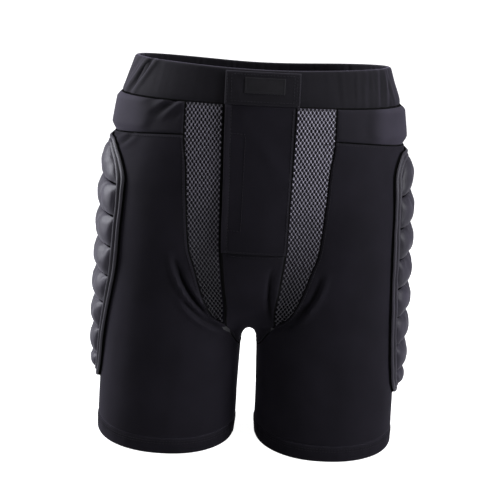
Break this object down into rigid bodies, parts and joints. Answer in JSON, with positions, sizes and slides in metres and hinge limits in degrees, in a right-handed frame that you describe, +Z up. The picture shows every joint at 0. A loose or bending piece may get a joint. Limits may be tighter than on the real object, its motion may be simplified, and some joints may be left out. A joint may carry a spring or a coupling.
{
  "type": "padded impact shorts",
  "caption": "Close-fitting protective undershorts with foam pads at the hips, thighs and seat, mesh strips, a fly flap and a tab-closed waistband",
  "frame": {"origin": "bottom centre of the bounding box, on the plane of the two hems", "axes": "+Z up; the front faces -Y; the wearer's right side is at -X"},
  "size_m": [0.3843, 0.2651, 0.4656],
  "materials": {
    "shell": "matte stretch knit",
    "mesh": "open air mesh",
    "gusset": "matte stretch knit",
    "hem": "folded knit",
    "pad_cover": "smooth laminated knit",
    "binding": "woven tape",
    "foam": "closed-cell foam",
    "backing": "woven lining",
    "elastic": "woven elastic",
    "tape": "hook-and-loop tape",
    "patch": "plain moulded patch"
  },
  "bodies": {
    "shorts": {"front_leg_panel_right": "shell", "back_leg_panel_right": "shell", "hem_right": "hem", "mesh_panel_right": "mesh", "yoke_panel_right": "shell", "hip_pad_right": "foam", "hip_pad_lining_right": "backing", "side_pad_right_backing": "backing", "side_pad_right_foam": "foam", "side_pad_right_cover": "pad_cover", "side_pad_right_binding": "binding", "seat_pad_right_backing": "backing", "seat_pad_right_foam": "foam", "seat_pad_right_cover": "pad_cover", "seat_pad_right_binding": "binding", "front_leg_panel_left": "shell", "back_leg_panel_left": "shell", "hem_left": "hem", "mesh_panel_left": "mesh", "yoke_panel_left": "shell", "hip_pad_left": "foam", "hip_pad_lining_left": "backing", "side_pad_left_backing": "backing", "side_pad_left_foam": "foam", "side_pad_left_cover": "pad_cover", "side_pad_left_binding": "binding", "seat_pad_left_backing": "backing", "seat_pad_left_foam": "foam", "seat_pad_left_cover": "pad_cover", "seat_pad_left_binding": "binding", "tailbone_pad_backing": "backing", "tailbone_pad_foam": "foam", "tailbone_pad_cover": "pad_cover", "tailbone_pad_binding": "binding", "crotch_gusset": "gusset", "fly_underlap": "shell", "fly_loop_tape": "tape", "back_yoke": "shell", "waistband_front_right": "shell", "waist_elastic_front_right": "elastic", "waistband_front_left": "shell", "waist_elastic_front_left": "elastic", "waistband_back": "shell", "waist_elastic_back": "elastic", "waist_loop_tape": "tape"},
    "flap": {"fly_flap": "shell", "fly_hook_tape": "tape", "waist_tab": "shell", "tab_hook_tape": "tape", "tab_patch": "patch"}
  },
  "joints": [
    {"name": "fly_flap_hinge", "type": "hinge", "parent": "shorts", "child": "flap", "pos_m": [0.042, -0.1294, 0.34], "axis": [0, 0.048, 0.9988], "range_deg": [0, 150]}
  ]
}
